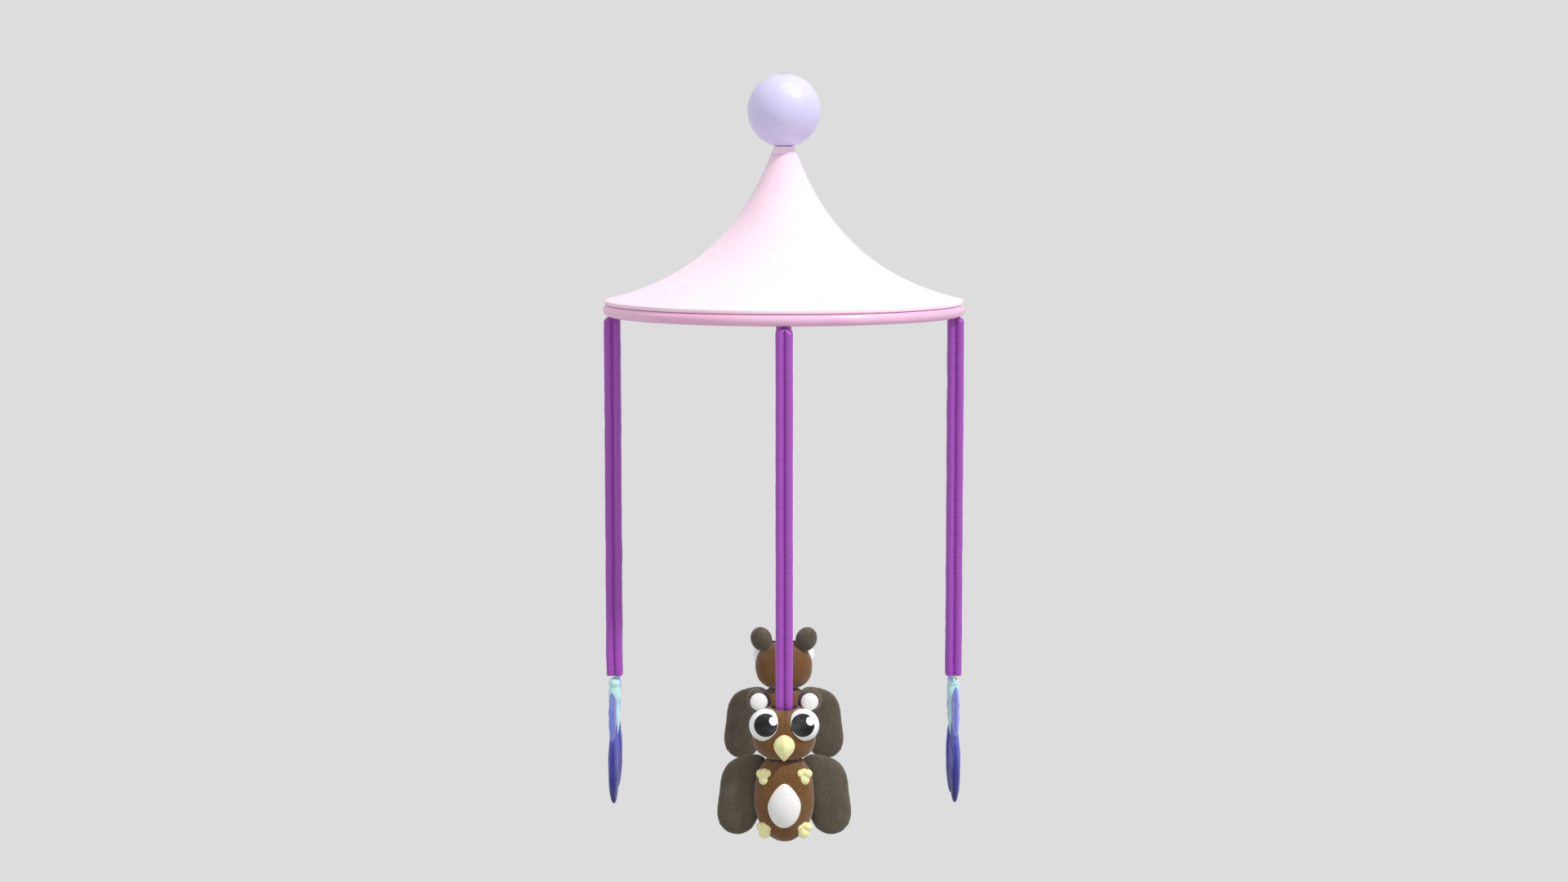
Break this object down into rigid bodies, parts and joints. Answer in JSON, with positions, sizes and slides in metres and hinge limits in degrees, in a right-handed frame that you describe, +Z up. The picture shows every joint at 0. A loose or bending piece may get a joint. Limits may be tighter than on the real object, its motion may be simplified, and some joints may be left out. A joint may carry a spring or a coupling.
{
  "type": "crib mobile",
  "caption": "Hanging crib mobile: a ball swivel over a tent-shaped canopy whose rim carries padded straps with stuffed owls and butterflies.",
  "frame": {"origin": "mouth of the arm socket on top of the ball, on the axis that the canopy turns about", "axes": "+Z up along the turning axis, out of the arm socket; -Y towards the front owl; +X towards the right butterfly"},
  "size_m": [0.3306, 0.3722, 0.671],
  "materials": {
    "ball_plastic": "smooth satin-gloss moulding",
    "socket_brass": "turned",
    "bearing_steel": "ground",
    "cage_brass": "pressed",
    "spindle_steel": "turned and zinc plated",
    "clip_steel": "phosphated spring steel",
    "collar_plastic": "satin moulding",
    "shell_plastic": "fine moulded grain",
    "canopy_fabric": "smooth stretched jersey",
    "rim_plastic": "satin-gloss moulding",
    "screw_steel": "zinc plated",
    "ring_wire": "bright nickel",
    "strap_satin": "satin weave with sheen",
    "plug_plastic": "satin moulding",
    "brown_felt": "short-pile felt",
    "wing_felt": "short-pile felt",
    "white_felt": "short-pile felt",
    "cream_felt": "short-pile felt",
    "eye_plastic": "polished",
    "pupil_plastic": "polished",
    "mint_plush": "short-pile plush",
    "blue_plush": "short-pile plush",
    "navy_plush": "short-pile plush",
    "stem_steel": "drawn wire"
  },
  "bodies": {
    "ball": {"ball_upper_shell": "ball_plastic", "ball_lower_shell": "ball_plastic", "arm_socket": "socket_brass", "bearing_outer_race": "bearing_steel", "bearing_cage": "cage_brass", "bearing_balls": "bearing_steel"},
    "canopy": {"bearing_inner_race": "bearing_steel", "spindle": "spindle_steel", "spindle_clip": "clip_steel", "spindle_nut": "spindle_steel", "neck_collar": "collar_plastic", "canopy_shell": "shell_plastic", "canopy_cover": "canopy_fabric", "rim_ring": "rim_plastic", "rim_screws": "screw_steel", "hanger_pins": "screw_steel"},
    "ring_front": {"hanger_ring_front": "ring_wire"},
    "ring_right": {"hanger_ring_right": "ring_wire"},
    "ring_back": {"hanger_ring_back": "ring_wire"},
    "ring_left": {"hanger_ring_left": "ring_wire"},
    "strap_front": {"strap_front": "strap_satin", "end_plug_front": "plug_plastic"},
    "strap_right": {"strap_right": "strap_satin", "end_plug_right": "plug_plastic"},
    "strap_back": {"strap_back": "strap_satin", "end_plug_back": "plug_plastic"},
    "strap_left": {"strap_left": "strap_satin", "end_plug_left": "plug_plastic"},
    "owl_front": {"owl_front_head": "brown_felt", "owl_front_body": "brown_felt", "owl_front_ears": "wing_felt", "owl_front_inner_ears": "white_felt", "owl_front_eyeballs": "eye_plastic", "owl_front_pupils": "pupil_plastic", "owl_front_beak": "cream_felt", "owl_front_belly": "white_felt", "owl_front_wings": "wing_felt", "owl_front_claws": "cream_felt", "owl_front_stem": "stem_steel"},
    "butterfly_right": {"butterfly_right_body": "mint_plush", "butterfly_right_antennae": "mint_plush", "butterfly_right_forewings": "blue_plush", "butterfly_right_hindwings": "navy_plush", "butterfly_right_stem": "stem_steel"},
    "owl_back": {"owl_back_head": "brown_felt", "owl_back_body": "brown_felt", "owl_back_ears": "wing_felt", "owl_back_inner_ears": "white_felt", "owl_back_eyeballs": "eye_plastic", "owl_back_pupils": "pupil_plastic", "owl_back_beak": "cream_felt", "owl_back_belly": "white_felt", "owl_back_wings": "wing_felt", "owl_back_claws": "cream_felt", "owl_back_stem": "stem_steel"},
    "butterfly_left": {"butterfly_left_body": "mint_plush", "butterfly_left_antennae": "mint_plush", "butterfly_left_forewings": "blue_plush", "butterfly_left_hindwings": "navy_plush", "butterfly_left_stem": "stem_steel"}
  },
  "joints": [
    {"name": "canopy_spin", "type": "hinge", "parent": "ball", "child": "canopy", "pos_m": [0, 0, -0.0587], "axis": [0, 0, 1], "continuous": true},
    {"name": "front_swing", "type": "hinge", "parent": "canopy", "child": "ring_front", "pos_m": [0, -0.157, -0.2145], "axis": [-1, 0, 0], "range_deg": [-7, 12]},
    {"name": "front_sway", "type": "hinge", "parent": "ring_front", "child": "strap_front", "pos_m": [0, -0.157, -0.2182], "axis": [0, -1, 0], "range_deg": [-10, 10]},
    {"name": "front_twist", "type": "hinge", "parent": "strap_front", "child": "owl_front", "pos_m": [0, -0.157, -0.553], "axis": [0, 0, 1], "continuous": true},
    {"name": "right_swing", "type": "hinge", "parent": "canopy", "child": "ring_right", "pos_m": [0.157, 0, -0.2145], "axis": [0, -1, 0], "range_deg": [-7, 12]},
    {"name": "right_sway", "type": "hinge", "parent": "ring_right", "child": "strap_right", "pos_m": [0.157, 0, -0.2182], "axis": [1, 0, 0], "range_deg": [-10, 10]},
    {"name": "right_twist", "type": "hinge", "parent": "strap_right", "child": "butterfly_right", "pos_m": [0.157, 0, -0.553], "axis": [0, 0, 1], "continuous": true},
    {"name": "back_swing", "type": "hinge", "parent": "canopy", "child": "ring_back", "pos_m": [0, 0.157, -0.2145], "axis": [1, 0, 0], "range_deg": [-7, 12]},
    {"name": "back_sway", "type": "hinge", "parent": "ring_back", "child": "strap_back", "pos_m": [0, 0.157, -0.2182], "axis": [0, 1, 0], "range_deg": [-10, 10]},
    {"name": "back_twist", "type": "hinge", "parent": "strap_back", "child": "owl_back", "pos_m": [0, 0.157, -0.553], "axis": [0, 0, 1], "continuous": true},
    {"name": "left_swing", "type": "hinge", "parent": "canopy", "child": "ring_left", "pos_m": [-0.157, 0, -0.2145], "axis": [0, 1, 0], "range_deg": [-7, 12]},
    {"name": "left_sway", "type": "hinge", "parent": "ring_left", "child": "strap_left", "pos_m": [-0.157, 0, -0.2182], "axis": [-1, 0, 0], "range_deg": [-10, 10]},
    {"name": "left_twist", "type": "hinge", "parent": "strap_left", "child": "butterfly_left", "pos_m": [-0.157, 0, -0.553], "axis": [0, 0, 1], "continuous": true}
  ]
}
